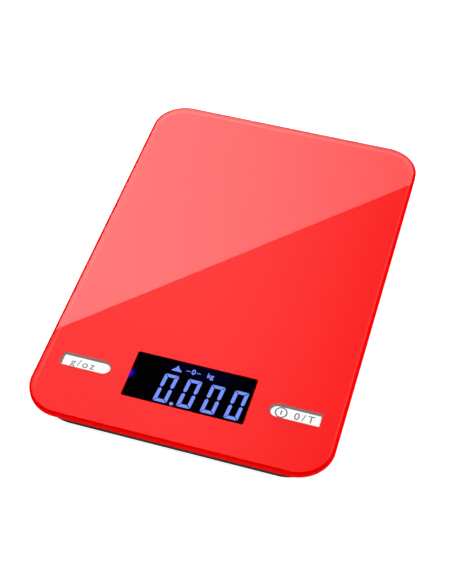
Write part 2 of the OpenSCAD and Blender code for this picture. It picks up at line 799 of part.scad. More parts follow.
module display_screws() {
  color([0.7, 0.7, 0.72]) at_display_ears() translate([0, 0, z_board_top + ear_t]) pan_screw(display_screw);
}

// ---------------------------------------------------------------- keys

// A moulded cap with a retaining flange, hollow below, with a boss over the switch
module key_cap() {
  color([0.97, 0.97, 0.96]) translate([0, key_y, 0]) {
    difference() {
      union() {
        translate([0, 0, z_plunger_top + touch]) linear_extrude(z_key_top - arris - z_plunger_top - touch)
          key_outline(-key_gap);
        key_slab(-key_gap, z_key_top - arris, z_key_top, arris);
        translate([0, 0, z_flange]) linear_extrude(key_flange_t) key_outline(key_flange);
      }
      translate([0, 0, z_plunger_top - over]) linear_extrude(z_key_top - key_skin - z_plunger_top + over)
        key_outline(-key_gap - key_skin);
    }
    translate([switch_x, 0, z_plunger_top + touch])
      cylinder(r = plunger_r, h = z_key_top - key_skin - z_plunger_top);
  }
}

// The switch's case, hollow for the plunger's flange, with a post that carries the dome
module switch_body() {
  color([0.1, 0.1, 0.1]) translate([switch_x, key_y, z_board_top]) difference() {
    linear_extrude(switch_h) rounded_rect(switch_w, switch_w, switch_r);
    translate([0, 0, z_dome - z_board_top])
      cylinder(r = plunger_r + plunger_flange + 2 * slip, h = switch_h - switch_skin - z_dome + z_board_top);
    cylinder(r = plunger_r + slip, h = switch_h + over);
  }
  color([0.1, 0.1, 0.1]) translate([switch_x, key_y, z_board_top])
    cylinder(r = plunger_r + plunger_flange, h = z_dome - z_board_top);
}

module switch_dome() {
  color([0.8, 0.8, 0.75]) translate([switch_x, key_y, z_dome]) cylinder(r = dome_r, h = dome_t);
}

module switch_plunger() {
  z_low = z_dome + dome_t + key_travel + slip;
  color([0.85, 0.82, 0.7]) translate([switch_x, key_y, z_low]) {
    cylinder(r = plunger_r, h = z_plunger_top - z_low);
    cylinder(r = plunger_r + plunger_flange, h = z_board_top + switch_h - switch_skin - slip - z_low);
  }
}

module switch_terminals() {
  color([0.8, 0.8, 0.8]) at_both_keys() for (sx = [-1, 1], sy = [-1, 1])
    translate([
      switch_x + sx * terminal_x - terminal[0] / 2,
      sy * (switch_w / 2 + terminal[1] / 2) - terminal[1] / 2,
      z_board_top
    ]) cube(terminal);
}

// ---------------------------------------------------------------- battery

// A hinged lid with grip grooves behind the fingernail notch, snap bumps and two rests for the cell
module battery_cover() {
  color([0.09, 0.09, 0.1]) {
    difference() {
      translate([-cover_w / 2, cover_front, ground_gap]) cube([cover_w, hinge_y - cover_front, cover_t]);
      for (k = [2:5]) translate([-grip_l / 2, cover_front + k * grip_pitch, ground_gap + grip_depth - grip_r])
        rotate([0, 90, 0]) cylinder(r = grip_r, h = grip_l);
    }
    translate([-cover_w / 2, hinge_y, hinge_z]) rotate([0, 90, 0]) cylinder(r = barrel_r, h = cover_w);
    translate([-cover_w / 2 - pin_l, hinge_y, hinge_z]) rotate([0, 90, 0])
      cylinder(r = pin_r, h = cover_w + 2 * pin_l);
    for (s = [-1, 1]) {
      translate([s * cover_w / 4 - bump_l / 2, cover_front + bump_r - bump_out, ground_gap + cover_t / 2])
        rotate([0, 90, 0]) cylinder(r = bump_r, h = bump_l);
      translate([s * cell_d / 4 - rest_w / 2, cell_y - cell_d / 4, ground_gap + cover_t - slip])
        cube([rest_w, cell_d / 2, z_cell - touch - ground_gap - cover_t + slip]);
    }
  }
}

// The can and, on top of it, the smaller lid
module coin_cell() {
  lid_t = 0.9;
  lid_in = 1.2;
  color([0.8, 0.8, 0.82]) translate([0, cell_y, z_cell]) {
    cylinder(r = cell_d / 2, h = cell_t - lid_t);
    translate([0, 0, cell_t - lid_t - slip]) cylinder(r = cell_d / 2 - lid_in, h = lid_t + slip);
  }
}

// A bowed blade that bears on the rim of the cell, with a solder tab
module battery_contact_positive() {
  back = niche_depth - clear;
  bow = [[back, 0.9], [back, 0.6], [touch, 0.15], [touch, -0.15], [back, -0.6], [back, -0.9]];
  inner = [for (p = bow) [cell_d / 2 + p[0], p[1] * niche_half]];
  outer = [for (k = [len(inner) - 1:-1:0]) inner[k] + [contact_t, 0]];
  color([0.82, 0.78, 0.6]) translate([0, cell_y, 0]) {
    translate([0, 0, z_cell + blade_lift]) linear_extrude(blade_h) polygon(concat(inner, outer));
    translate([cell_d / 2 + back, niche_half - tab_w - clear - fit, z_tab])
      cube([positive_tab_end - cell_d / 2 - back, tab_w, contact_t]);
  }
}

// A sprung finger under the bay's roof that bears on the cell's lid, with a solder tab outside
module battery_contact_negative() {
  z_finger = z_roof - contact_t - slip;
  tab_y = cover_front - clear - ledge_side - 2;
  low = [[tab_y, z_finger], [cell_y - cell_d / 2 + 2, z_finger], [cell_y - 1.5, z_cell_top + touch],
         [cell_y + 1.5, z_cell_top + touch], [cell_y + 4, z_finger - 0.2]];
  high = [for (k = [len(low) - 1:-1:0]) low[k] + [0, contact_t]];
  color([0.82, 0.78, 0.6]) translate([-finger_w / 2, 0, 0]) rotate([90, 0, 90])
    linear_extrude(finger_w) polygon(concat(low, high));
}

module battery_leads() {
  board_end = display_y + board_l / 2 - 5;
  positive_y = cell_y + niche_half - tab_w / 2 - clear - fit;
  negative_y = cover_front - clear - ledge_side - 1.5;
  color([0.1, 0.1, 0.1]) {
    wire([
      [positive_tab_end, positive_y, z_tab + contact_t / 2],
      [positive_lead_x, positive_y, z_tab + contact_t / 2],
      [positive_lead_x, positive_y, z_lead],
      [positive_lead_x, board_end, z_lead], [positive_lead_x, board_end, z_board]
    ], lead_r, lead_bend);
    wire([
      [0, negative_y, z_roof - contact_t - slip], [0, negative_y, z_lead],
      [0, board_end, z_lead], [0, board_end, z_board]
    ], lead_r, lead_bend);
  }
}

// ---------------------------------------------------------------- nodes

glass_platform();
platform_print();
platform_gasket();
support_pads();
base_housing();
load_sensor(0);  // load_sensor_front_left
load_sensor(1);  // load_sensor_front_right
load_sensor(2);  // load_sensor_rear_left
load_sensor(3);  // load_sensor_rear_right
strain_gauge(0);  // strain_gauge_front_left
strain_gauge(1);  // strain_gauge_front_right
strain_gauge(2);  // strain_gauge_rear_left
strain_gauge(3);  // strain_gauge_rear_right
sensor_clip(0);  // sensor_clip_front_left
sensor_clip(1);  // sensor_clip_front_right
sensor_clip(2);  // sensor_clip_rear_left
sensor_clip(3);  // sensor_clip_rear_right
sensor_screws();
foot(0);  // foot_front_left
foot(1);  // foot_front_right
foot(2);  // foot_rear_left
foot(3);  // foot_rear_right
foot_pad(0);  // foot_pad_front_left
foot_pad(1);  // foot_pad_front_right
foot_pad(2);  // foot_pad_rear_left
foot_pad(3);  // foot_pad_rear_right
sensor_leads(0);  // sensor_leads_front_left
sensor_leads(1);  // sensor_leads_front_right
sensor_leads(2);  // sensor_leads_rear_left
sensor_leads(3);  // sensor_leads_rear_right
circuit_board();
controller();
board_capacitors();
lcd_cell();
lcd_front_polariser();
lcd_rear_polariser();
light_guide();
backlight_led();
contact_strip();
display_frame();
display_screws();
mirror([1, 0, 0]) key_cap();  // unit_key
mirror([1, 0, 0]) switch_body();  // unit_switch_body
mirror([1, 0, 0]) switch_dome();  // unit_switch_dome
mirror([1, 0, 0]) switch_plunger();  // unit_switch_plunger
key_cap();  // tare_key
switch_body();  // tare_switch_body
switch_dome();  // tare_switch_dome
switch_plunger();  // tare_switch_plunger
switch_terminals();
battery_cover();
coin_cell();
battery_contact_positive();
battery_contact_negative();
battery_leads();
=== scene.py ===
"""Looks of the slim kitchen scale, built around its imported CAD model.

Lengths are metres unless a name says mm. The display end is towards -y, the far end towards +y.
"""

import json
import math

import bmesh
import bpy
from mathutils import Matrix, Vector
from mathutils.geometry import tessellate_polygon


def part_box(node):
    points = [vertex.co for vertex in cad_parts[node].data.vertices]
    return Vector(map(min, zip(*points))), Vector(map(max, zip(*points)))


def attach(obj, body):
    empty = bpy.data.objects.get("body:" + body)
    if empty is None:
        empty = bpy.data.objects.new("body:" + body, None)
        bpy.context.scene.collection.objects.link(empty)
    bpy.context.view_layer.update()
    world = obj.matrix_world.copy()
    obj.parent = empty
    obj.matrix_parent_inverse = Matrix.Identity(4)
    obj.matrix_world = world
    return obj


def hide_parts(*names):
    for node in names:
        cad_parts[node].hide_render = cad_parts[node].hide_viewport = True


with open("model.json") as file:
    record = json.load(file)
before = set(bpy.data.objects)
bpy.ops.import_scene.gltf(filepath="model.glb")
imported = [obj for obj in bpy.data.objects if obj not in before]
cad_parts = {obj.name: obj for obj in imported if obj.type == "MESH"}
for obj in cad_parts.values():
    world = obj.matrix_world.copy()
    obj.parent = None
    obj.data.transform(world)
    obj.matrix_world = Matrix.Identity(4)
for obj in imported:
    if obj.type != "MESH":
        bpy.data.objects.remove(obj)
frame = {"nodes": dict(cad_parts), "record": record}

MM = 0.001

scene = bpy.context.scene
nodes = frame["nodes"]
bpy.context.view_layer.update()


# ---------------------------------------------------------------- sizes

# Glass platform
GLASS_LOW, GLASS_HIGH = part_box("glass_platform")
PRINT_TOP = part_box("platform_print")[1].z
GLASS_EMBED = 0.01 * MM
GLASS_BOTTOM = PRINT_TOP - GLASS_EMBED
GLASS_R = 18 * MM
GLASS_BEVEL = 0.7 * MM
# How much wider a bevel is at the sides and at the far edge
BEVEL_SPREAD = (1.35, 1.75)
LOWER_BEVEL_SPREAD = (1.0, 1.0)
BEVEL_EASE = 0.3 * MM
EASE_STEPS = 3
CORNER_STEPS = 32

# Display window, and how far the glass shifts what is seen through it
DISPLAY_MIDDLE = (-0.6 * MM, GLASS_LOW.y + 34 * MM)
DISPLAY_HALF = (30.3 * MM, 13.5 * MM)
DISPLAY_CORNER = 1.0 * MM
DISPLAY_CORNER_STEPS = 4
WINDOW_SHIFT = (0.56 * MM, -1.58 * MM)

# Key openings in the glass
KEY_MIDDLE_Y = GLASS_LOW.y + 31.6 * MM
KEY_INNER_X = 39.9 * MM
KEY_OUTER_X = 64.4 * MM
KEY_HALF = 3.5 * MM
KEY_CORNER = 0.4 * MM
KEY_ARRIS = 0.2 * MM
KEY_OVERLAP = 0.06 * MM
KEY_ROUND_STEPS = 32
KEY_CORNER_STEPS = 4

# Digits
LCD_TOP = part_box("lcd_front_polariser")[1].z
SEGMENT_LOW = LCD_TOP + 0.01 * MM
SEGMENT_HIGH = LCD_TOP + 0.05 * MM
DIGIT_COUNT = 4
DIGIT_FRONT = GLASS_LOW.y + 22.05 * MM
DIGIT_LEFT = -15.5 * MM
DIGIT_HEIGHT = 16.7 * MM
DIGIT_WIDTH = 6.9 * MM
DIGIT_PITCH = 11.7 * MM
DIGIT_STROKE = 1.75 * MM
DIGIT_GAP = 0.28 * MM
DIGIT_NIB = 0.45 * DIGIT_STROKE
# Lean to the right per unit of height
DIGIT_LEAN = 0.08
DOT_R = 0.95 * MM
DOT_RISE = 0.45 * MM
DOT_STEPS = 24

# Icons above the digits
ICON_Y = GLASS_LOW.y + 42.95 * MM
POINTER_X = -9.65 * MM
POINTER_HALF = 2.5 * MM
POINTER_TALL = 3.3 * MM
POINTER_WAIST = 0.72 * MM
POINTER_NECK = 1.2 * MM
POINTER_FOOT = 0.35 * MM
POINTER_TIP = 0.25 * MM
ZERO_MARK_X = -1.45 * MM
ZERO_MARK_TALL = 2.9 * MM
ZERO_BAR_OFFSET = 2.65 * MM
ZERO_BAR_HALF = (0.95 * MM, 0.2 * MM)
UNIT_MARK_X = 7.05 * MM
UNIT_MARK_Y = ICON_Y + 0.05 * MM
UNIT_MARK_TALL = 2.7 * MM
UNIT_MARK_STRETCH = 0.95
ICON_WEIGHT = 0.1 * MM

# Lettering; CAPITAL_SHARE is the height of a capital as a share of the type size
CAPITAL_SHARE = 0.7
LETTER_THICKNESS = 0.02 * MM
CURVE_STEPS = 4

# Markings on the keys
KEY_INK_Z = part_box("unit_key")[1].z + 0.004 * MM
UNIT_MARKING_TALL = 4.0 * MM
UNIT_MARKING_PLACE = (-53.9 * MM, KEY_MIDDLE_Y - 0.35 * MM, KEY_INK_Z)
UNIT_MARKING_SPACING = 1.3
TARE_MARKING_TALL = 3.9 * MM
TARE_MARKING_PLACE = (56.5 * MM, KEY_MIDDLE_Y - 0.3 * MM, KEY_INK_Z)
TARE_MARKING_SPACING = 1.4
POWER_RING_X = 45.25 * MM
POWER_RING_R = 3.0 * MM
POWER_RING_LINE = 0.55 * MM
POWER_BAR_SHARE = 0.42
POWER_RING_STEPS = 40


# ---------------------------------------------------------------- shader helpers

GLASS_IOR = 1.5


class Shader:
    """The node tree of a material, world or lamp. Values given for sockets are links or plain constants."""

    def __init__(self, owner):
        self.owner = owner
        owner.use_nodes = True
        self.tree = owner.node_tree
        self.tree.nodes.clear()

    def add(self, kind, settings=None, **sockets):
        """Adds a node; a socket's name is written with underscores, and i0, i1 … name sockets by place."""
        made = self.tree.nodes.new("ShaderNode" + kind)
        for key, value in (settings or {}).items():
            setattr(made, key, value)
        for key, value in sockets.items():
            by_place = key[0] == "i" and key[1:].isdigit()
            socket = made.inputs[int(key[1:]) if by_place else key.replace("_", " ")]
            if isinstance(value, bpy.types.NodeSocket):
                self.tree.links.new(value, socket)
            else:
                socket.default_value = value
        return made

    def finish(self, surface):
        self.add("OutputMaterial", Surface=surface)
        return self.owner

    # ---- places and directions

    def object_place(self):
        return self.add("TexCoord").outputs["Object"]

    def millimetres(self, stretch=(1, 1, 1)):
        """Object coordinates in millimetres, stretched along each axis."""
        scale = [factor / MM for factor in stretch]
        return self.add("Mapping", Vector=self.object_place(), Scale=scale).outputs[0]

    def axes(self, vector):
        return self.add("SeparateXYZ", Vector=vector).outputs

    def length(self, vector):
        return self.add("VectorMath", {"operation": "LENGTH"}, i0=vector).outputs["Value"]

    # ---- values

    def noise(self, where, scale, detail=3.0, roughness=0.55):
        made = self.add("TexNoise", Vector=where, Scale=scale, Detail=detail, Roughness=roughness)
        return made.outputs["Fac"]

    def span(self, value, low, high, start=0.35, stop=0.65):
        """Spreads a value that runs from start to stop over low to high."""
        return self.add("MapRange", Value=value, i1=start, i2=stop, i3=low, i4=high).outputs[0]

    def smooth(self, value, low, high, start, stop):
        """As span, with an S-shaped course."""
        course = {"interpolation_type": "SMOOTHSTEP"}
        return self.add("MapRange", course, Value=value, i1=start, i2=stop, i3=low, i4=high).outputs[0]

    def math(self, what, first, second=0.0):
        return self.add("Math", {"operation": what}, i0=first, i1=second).outputs[0]

    def product(self, first, *others):
        for other in others:
            first = self.math("MULTIPLY", first, other)
        return first

    def blend(self, factor, first, second):
        """Mixes two colours."""
        return self.add("Mix", {"data_type": "RGBA"}, i0=factor, i6=first, i7=second).outputs[2]

    def mix_value(self, factor, first, second):
        """Mixes two plain values."""
        return self.add("Mix", {"data_type": "FLOAT"}, i0=factor, i2=first, i3=second).outputs[0]

    def bump(self, height, depth_mm, strength=1.0):
        return self.add("Bump", Height=height, Distance=depth_mm * MM, Strength=strength).outputs[0]

    # ---- surfaces

    def principled(self, **sockets):
        return self.add("BsdfPrincipled", **sockets).outputs[0]

    def clear(self, colour, **sockets):
        """Polished glass."""
        return self.principled(
            Base_Color=colour, Roughness=0.0, IOR=GLASS_IOR, Transmission_Weight=1.0, **sockets
        )

    def unmirrored(self, colour):
        """Glass that mirrors nothing."""
        return self.add("BsdfRefraction", Color=colour, Roughness=0.0, IOR=GLASS_IOR).outputs[0]

    def mix(self, factor, first, second):
        """Mixes two surfaces."""
        return self.add("MixShader", Fac=factor, i1=first, i2=second).outputs[0]

    def two_sided(self, outside, within):
        """One surface seen from outside and another seen from within the solid."""
        return self.mix(self.add("NewGeometry").outputs["Backfacing"], outside, within)


def new_material(name):
    return Shader(bpy.data.materials.new(name))


def shades(colour, spread):
    """A darker and a lighter version of a linear colour, for a blend."""
    return tuple((*[c * k for c in colour], 1.0) for k in (1 - spread, 1 + spread))


# ---------------------------------------------------------------- common materials


def plastic(name, colour, rough=0.4, grain_mm=0.25, depth_mm=0.006, spread=0.06, **extra):
    """Moulded plastic with a fine spark-eroded grain, slow colour drift and faint handling marks."""
    s = new_material(name)
    where = s.millimetres()
    grain = s.noise(where, 1 / grain_mm, detail=4.0)
    drift = s.noise(where, 0.05, detail=2.0)
    marks = s.noise(where, 0.35, detail=5.0, roughness=0.7)
    surface = s.principled(
        Base_Color=s.blend(s.span(drift, 0, 1), *shades(colour, spread)),
        Roughness=s.span(marks, rough - 0.05, rough + 0.07),
        Normal=s.bump(grain, depth_mm),
        **extra,
    )
    return s.finish(surface)


def rubber(name, colour, rough=0.75, pore_mm=0.35, depth_mm=0.015):
    """Soft rubber or foam: open pores, a dusty bloom and no gloss."""
    s = new_material(name)
    where = s.millimetres()
    pores = s.add("TexVoronoi", Vector=where, Scale=1 / pore_mm).outputs["Distance"]
    bloom = s.noise(where, 0.6, detail=4.0)
    surface = s.principled(
        Base_Color=s.blend(s.span(bloom, 0, 1), *shades(colour, 0.14)),
        Roughness=s.span(bloom, rough - 0.06, rough + 0.08),
        Normal=s.bump(pores, depth_mm),
        Specular_IOR_Level=0.35,
    )
    return s.finish(surface)


def metal(name, colour, rough=0.28, stretch=(0.15, 4, 4), depth_mm=0.002, spread=0.05):
    """Rolled or plated metal, with brushing along the axis that is stretched least."""
    s = new_material(name)
    lines = s.noise(s.millimetres(stretch), 1.4, detail=5.0, roughness=0.6)
    stains = s.noise(s.millimetres(), 0.25)
    surface = s.principled(
        Base_Color=s.blend(s.span(stains, 0, 1), *shades(colour, spread)),
        Metallic=1.0,
        Roughness=s.span(lines, rough - 0.06, rough + 0.1),
        Normal=s.bump(lines, depth_mm),
    )
    return s.finish(surface)


def wire_coat(name, colour):
    """Extruded PVC insulation: smooth, slightly waxy, with faint draw lines."""
    s = new_material(name)
    lines = s.noise(s.millimetres((3, 3, 0.4)), 1.5)
    tone = s.blend(s.span(lines, 0, 1), *shades(colour, 0.1))
    return s.finish(s.principled(Base_Color=tone, Roughness=0.35, Normal=s.bump(lines, 0.004)))


def painted_ink(name, grey):
    """Pad-printed ink."""
    s = new_material(name)
    speck = s.noise(s.millimetres(), 9.0)
    tone = s.blend(s.span(speck, 0, 1), *shades((grey, grey, grey * 1.02), 0.12))
    return s.finish(s.principled(Base_Color=tone, Roughness=0.45))


# ---------------------------------------------------------------- board and display materials

MASK_OVER_BOARD = (0.006, 0.075, 0.022, 1)
MASK_OVER_COPPER = (0.012, 0.14, 0.04, 1)
WEAVE_LIGHT = (1, 1, 1, 1)
WEAVE_DARK = (0.8, 0.8, 0.8, 1)
WEAVE_GAP = (0, 0, 0, 1)

LCD_BLACK = (0.0006, 0.0006, 0.001)
LEAK_BLUE = (0.02, 0.01, 1.0)
LEAK_MIDDLE = (-31.2 * MM, GLASS_LOW.y + 34.2 * MM)
LEAK_REACH = (4.2 * MM, 4.6 * MM)
LEAK_STRENGTH = 0.8
HAZE_MIDDLE = (4.0 * MM, GLASS_LOW.y + 43.4 * MM)
HAZE_REACH = (26 * MM, 6.5 * MM)
HAZE_STRENGTH = 0.012

SEGMENT_UNLIT = (0.02, 0.03, 0.08, 1)
BACKLIGHT_BLUE = (0.20, 0.30, 1.0)
BACKLIGHT_STRENGTH = (0.87, 0.98)

GUIDE_CLEAR = (0.9, 0.94, 1, 1)
GUIDE_DOT = (0.55, 0.65, 0.8, 1)
ACRYLIC_IOR = 1.49


def solder_mask(name):
    """Green board: mask over fibreglass weave, with copper pours that show as lighter green."""
    s = new_material(name)
    where = s.millimetres()
    weave = s.add(
        "TexBrick", Vector=where, Scale=1.0, Color1=WEAVE_LIGHT, Color2=WEAVE_DARK, Mortar=WEAVE_GAP
    ).outputs["Color"]
    pour = s.add("TexVoronoi", {"distance": "CHEBYCHEV"}, Vector=where, Scale=0.22).outputs["Distance"]
    traces = s.span(pour, 0, 1, start=0.46, stop=0.52)
    tone = s.blend(traces, MASK_OVER_BOARD, MASK_OVER_COPPER)
    return s.finish(s.principled(Base_Color=tone, Roughness=0.32, Normal=s.bump(weave, 0.01, strength=0.4)))


def display_film(name):
    """The display's front film: black, the backlight leaking in at one end, a faint haze above the digits."""
    s = new_material(name)

    def pool(middle, reach):
        """1 in the middle, falling to 0 at reach, over an ellipse on the film."""
        shifted = s.add(
            "Mapping",
            {"vector_type": "TEXTURE"},
            Vector=s.object_place(),
            Location=(*middle, LCD_TOP),
            Scale=(*reach, 1),
        ).outputs[0]
        return s.smooth(s.length(shifted), 0.0, 1.0, 1.0, 0.0)

    leak = pool(LEAK_MIDDLE, LEAK_REACH)
    leaked = s.product(leak, leak, LEAK_STRENGTH)
    haze = s.product(pool(HAZE_MIDDLE, HAZE_REACH), HAZE_STRENGTH)
    speck = s.noise(s.millimetres(), 2.0, detail=2.0)
    surface = s.principled(
        Base_Color=s.blend(s.span(speck, 0, 1), *shades(LCD_BLACK, 0.3)),
        Roughness=0.25,
        Specular_IOR_Level=0.0,
        Emission_Color=(*LEAK_BLUE, 1),
        Emission_Strength=s.math("ADD", leaked, haze),
    )
    return s.finish(surface)


def lit_segments(name):
    """The display's lit segments: pale blue, a little uneven, as a guide lit from one end is."""
    s = new_material(name)
    cells = s.noise(s.millimetres(), 0.7, detail=2.0)
    surface = s.principled(
        Base_Color=SEGMENT_UNLIT,
        Roughness=0.4,
        Specular_IOR_Level=0.0,
        Emission_Color=(*BACKLIGHT_BLUE, 1),
        Emission_Strength=s.span(cells, *BACKLIGHT_STRENGTH),
    )
    return s.finish(surface)


def light_guide(name):
    """Clear acrylic with a printed dot pattern that lets the backlight out."""
    s = new_material(name)
    dots = s.add("TexVoronoi", Vector=s.millimetres(), Scale=1.2).outputs["Distance"]
    tone = s.blend(s.span(dots, 0, 1, start=0.1, stop=0.2), GUIDE_CLEAR, GUIDE_DOT)
    return s.finish(s.principled(Base_Color=tone, Roughness=0.12, IOR=ACRYLIC_IOR, Transmission_Weight=0.6))


# ---------------------------------------------------------------- red coat under the glass

PRINT_RED = (0.95, 0.002, 0.002)
RIM_LIGHT_RED = (0.95, 0.14, 0.135, 1)
# A pale line of painted light inside the platform's edge, standing for light the glass edge brings onto the
# coat: how deep in it is brightest, its breadth before and behind that
RIM_DEPTH = 2.1 * MM
RIM_RISE = 0.7 * MM
RIM_FALL = 0.9 * MM
# Its strength where it begins, across the platform and at the far end, as (level, level, from, to)
RIM_BEGINNING = (0.0, 1.0, GLASS_LOW.y + 8 * MM, GLASS_LOW.y + 20 * MM)
RIM_ACROSS = (0.4, 0.15, -20 * MM, 60 * MM)
RIM_FAR_END = (0.0, 0.6, 88 * MM, 103 * MM)


def depth_from_edge(s, axes):
    """How far a point lies inside the platform's outline with its round corners."""
    across = s.math("SUBTRACT", s.math("ABSOLUTE", axes["X"]), GLASS_HIGH.x - GLASS_R)
    along = s.math("SUBTRACT", s.math("ABSOLUTE", axes["Y"]), GLASS_HIGH.y - GLASS_R)
    past_corner = s.add("CombineXYZ", X=s.math("MAXIMUM", across, 0.0), Y=s.math("MAXIMUM", along, 0.0))
    round_part = s.length(past_corner.outputs[0])
    straight_part = s.math("MINIMUM", s.math("MAXIMUM", across, along), 0.0)
    return s.math("SUBTRACT", GLASS_R, s.math("ADD", round_part, straight_part))


def painted_rim_light(s):
    """Mask of a painted line of light: 1 along a soft line a little inside the platform's edge, 0 elsewhere
    and along the display end.
    """
    axes = s.axes(s.object_place())
    depth = depth_from_edge(s, axes)
    rise = s.smooth(depth, 0.0, 1.0, RIM_DEPTH - RIM_RISE, RIM_DEPTH)
    fall = s.smooth(depth, 1.0, 0.0, RIM_DEPTH, RIM_DEPTH + RIM_FALL)
    strength = s.math("ADD", s.smooth(axes["X"], *RIM_ACROSS), s.smooth(axes["Y"], *RIM_FAR_END))
    return s.product(rise, fall, s.smooth(axes["Y"], *RIM_BEGINNING), strength)


def printed_coat():
    """Screen-printed enamel seen through the glass: almost even, with the squeegee's faint streaks, and a
    pale line of painted light along its edge.
    """
    s = new_material("print_red")
    streaks = s.noise(s.millimetres((0.02, 0.5, 1)), 1.0)
    cloud = s.noise(s.millimetres(), 0.02, detail=2.0)
    uneven = s.span(s.product(streaks, cloud), 0, 1, start=0.15, stop=0.35)
    enamel = s.blend(uneven, *shades(PRINT_RED, 0.015))
    # The pale line laid over the enamel is painted light.
    tone = s.blend(painted_rim_light(s), enamel, RIM_LIGHT_RED)
    return s.finish(s.principled(Base_Color=tone, Roughness=0.5, Specular_IOR_Level=0.0))


# ---------------------------------------------------------------- glass materials

GLASS_TINT = (0.985, 0.995, 0.99, 1)
RIPPLE_MM = 0.004
# The red of the glass's edges is painted in, standing for the coat's light carried inside the glass; the near
# bevel's darker red is painted shade, and the sides' red is darker than the bevel's.
BEVEL_TINT = (0.95, 0.006, 0.006, 1)
NEAR_BEVEL_SHADE = (0.70, 0.004, 0.004, 1)
SIDE_TINT = (0.8, 0.006, 0.006, 1)
INNER_TINT = (0.9, 0.012, 0.012, 1)
LINING_RED = (0.85, 0.012, 0.012, 1)
# A pale white painted as a highlight onto the edge where it faces the far end
SHEEN_WHITE = (0.95, 0.85, 0.85, 1)
# The key openings' walls: a dull grey-green whose darkness is partly painted shade inside the openings
WALL_SHADE_DARK = (0.13, 0.16, 0.145, 1)
WALL_SHADE_LIGHT = (0.20, 0.24, 0.22, 1)
EDGE_GLOSS = 0.06
FAR_BEVEL_GLOSS = 1.0
# How much of that painted highlight the far bevel takes
FAR_BEVEL_SHEEN = 0.22
# Where a side edge turns into the near or the far edge, by the y direction that it faces: (from, to)
NEAR_TURN = (-0.6, -0.1)
FAR_TURN = (0.05, 0.6)


def lets_light_in(s, glass):
    """Finishes a glass material so that lamps and bounced light pass straight through to what is beneath."""
    path = s.add("LightPath").outputs
    soft = s.math("MAXIMUM", path["Is Shadow Ray"], path["Is Diffuse Ray"])
    through = s.add("BsdfTransparent", Color=GLASS_TINT).outputs[0]
    return s.finish(s.mix(soft, glass, through))


def polished_glass(name):
    """Polished float glass, with the slow ripple that the float bath leaves."""
    s = new_material(name)
    waves = s.noise(s.millimetres(), 0.03, detail=1.0)
    return lets_light_in(s, s.clear(GLASS_TINT, Normal=s.bump(waves, RIPPLE_MM)))


def bloomed_glass(name):
    """Glass that mirrors nothing, as over a display with a bloomed face, or where a coat is bonded to it."""
    s = new_material(name)
    return lets_light_in(s, s.unmirrored(GLASS_TINT))


def edge_with_painted_light(name, tint, near_shade_tint=None, far_gloss=EDGE_GLOSS, far_sheen=0.0, lined=False):
    """A polished edge of the glass, its red painted in to stand for the coat's light carried inside the
    glass; a lined one is painted inside.

    Where it faces the display end, its colour is the second colour given, which is painted shade. Where it
    faces the far end, it mirrors by far_gloss, and a pale white is mixed in as a painted highlight by the
    weight given after that.
    """
    s = new_material(name)
    facing = s.axes(s.add("TexCoord").outputs["Normal"])["Y"]
    # Where the edge faces the display end its red turns darker: painted shade.
    colour = s.blend(s.smooth(facing, 1.0, 0.0, *NEAR_TURN), tint, near_shade_tint or tint)
    gloss = s.smooth(facing, EDGE_GLOSS, far_gloss, *FAR_TURN)
    polished = s.mix(gloss, s.unmirrored(colour), s.clear(colour))
    # Painted highlight: a pale white mixed in where the edge faces the far end.
    painted_sheen = s.add("BsdfDiffuse", Color=SHEEN_WHITE).outputs[0]
    outside = s.mix(s.smooth(facing, 0.0, far_sheen, *FAR_TURN), polished, painted_sheen)
    if lined:
        within = s.principled(Base_Color=LINING_RED, Roughness=0.7, Specular_IOR_Level=0.1)
    else:
        within = s.clear(INNER_TINT)
    return lets_light_in(s, s.two_sided(outside, within))


def ground_glass(name):
    """The ground wall of an opening cut in the glass: from outside a dull grey-green, darkened as painted
    shade of the opening; clear from within.
    """
    s = new_material(name)
    grit = s.noise(s.millimetres(), 8.0, detail=4.0)
    # A ground finish, darkened as painted shade of the opening.
    tone = s.blend(s.span(grit, 0, 1), WALL_SHADE_DARK, WALL_SHADE_LIGHT)
    frosted_and_shaded = s.principled(Base_Color=tone, Roughness=0.55, Normal=s.bump(grit, 0.01))
    return lets_light_in(s, s.two_sided(frosted_and_shaded, s.clear(GLASS_TINT)))


# ---------------------------------------------------------------- materials by slot

STEEL = (0.58, 0.59, 0.61)


